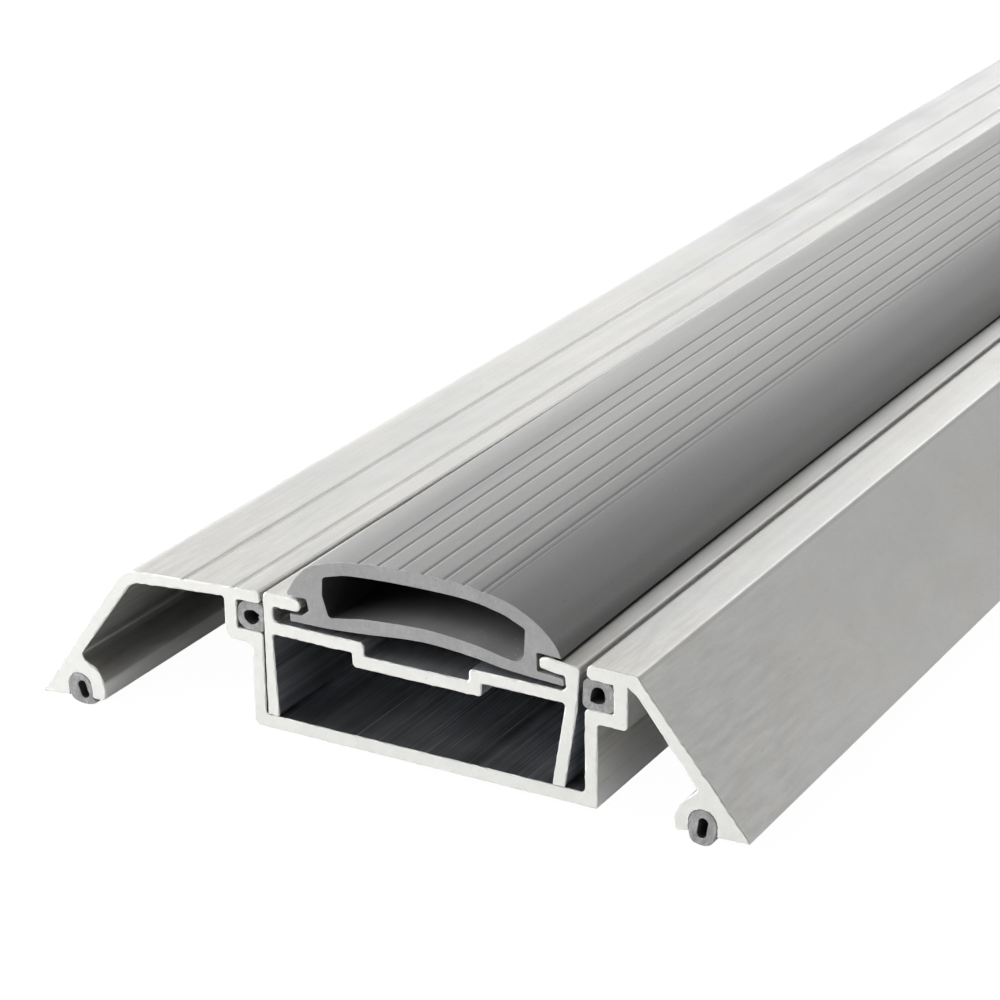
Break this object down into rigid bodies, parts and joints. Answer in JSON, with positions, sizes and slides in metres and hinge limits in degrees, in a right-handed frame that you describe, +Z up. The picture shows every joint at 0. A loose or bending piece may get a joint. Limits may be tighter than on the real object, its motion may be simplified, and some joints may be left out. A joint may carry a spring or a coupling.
{
  "type": "door threshold strip",
  "caption": "Aluminium door threshold with two ramps, a riser lifted by jack screws, a hollow grey crown for the door to close on, and hollow side and foot seals.",
  "frame": {"origin": "centre of the strip's footprint, on the surface that its foot seals touch", "axes": "+Y along the strip, +X across it towards the short steep ramp, +Z up"},
  "size_m": [0.0954, 0.9144, 0.0269],
  "materials": {
    "mill_aluminium": "mill finish with fine lengthwise die lines and saw-cut ends",
    "grey_vinyl": "matt extruded grey vinyl",
    "zinc_steel": "bright zinc plated"
  },
  "bodies": {
    "base": {"base": "mill_aluminium", "left_side_gasket": "grey_vinyl", "right_side_gasket": "grey_vinyl", "left_foot_seal": "grey_vinyl", "right_foot_seal": "grey_vinyl"},
    "riser": {"riser": "mill_aluminium", "crown": "grey_vinyl", "insert_1": "zinc_steel", "insert_2": "zinc_steel", "insert_3": "zinc_steel", "insert_4": "zinc_steel", "insert_5": "zinc_steel"},
    "jack_1": {"jack_screw_1": "zinc_steel"},
    "jack_2": {"jack_screw_2": "zinc_steel"},
    "jack_3": {"jack_screw_3": "zinc_steel"},
    "jack_4": {"jack_screw_4": "zinc_steel"},
    "jack_5": {"jack_screw_5": "zinc_steel"}
  },
  "joints": [
    {"name": "riser_lift", "type": "slide", "parent": "base", "child": "riser", "axis": [0, 0, 1], "range_m": [0, 0.00635]},
    {"name": "jack_1_turn", "type": "hinge", "parent": "base", "child": "jack_1", "pos_m": [0.00595, -0.4, 0.00505], "axis": [0, 0, 1], "range_deg": [-2161, 0]},
    {"name": "jack_2_turn", "type": "hinge", "parent": "base", "child": "jack_2", "pos_m": [0.00595, -0.2, 0.00505], "axis": [0, 0, 1], "range_deg": [-2161, 0]},
    {"name": "jack_3_turn", "type": "hinge", "parent": "base", "child": "jack_3", "pos_m": [0.00595, 0, 0.00505], "axis": [0, 0, 1], "range_deg": [-2161, 0]},
    {"name": "jack_4_turn", "type": "hinge", "parent": "base", "child": "jack_4", "pos_m": [0.00595, 0.2, 0.00505], "axis": [0, 0, 1], "range_deg": [-2161, 0]},
    {"name": "jack_5_turn", "type": "hinge", "parent": "base", "child": "jack_5", "pos_m": [0.00595, 0.4, 0.00505], "axis": [0, 0, 1], "range_deg": [-2161, 0]}
  ],
  "couplings": [
    {"joint": "jack_1_turn", "follows": "riser_lift", "rad_per_m": -5936.9},
    {"joint": "jack_2_turn", "follows": "riser_lift", "rad_per_m": -5936.9},
    {"joint": "jack_3_turn", "follows": "riser_lift", "rad_per_m": -5936.9},
    {"joint": "jack_4_turn", "follows": "riser_lift", "rad_per_m": -5936.9},
    {"joint": "jack_5_turn", "follows": "riser_lift", "rad_per_m": -5936.9}
  ]
}
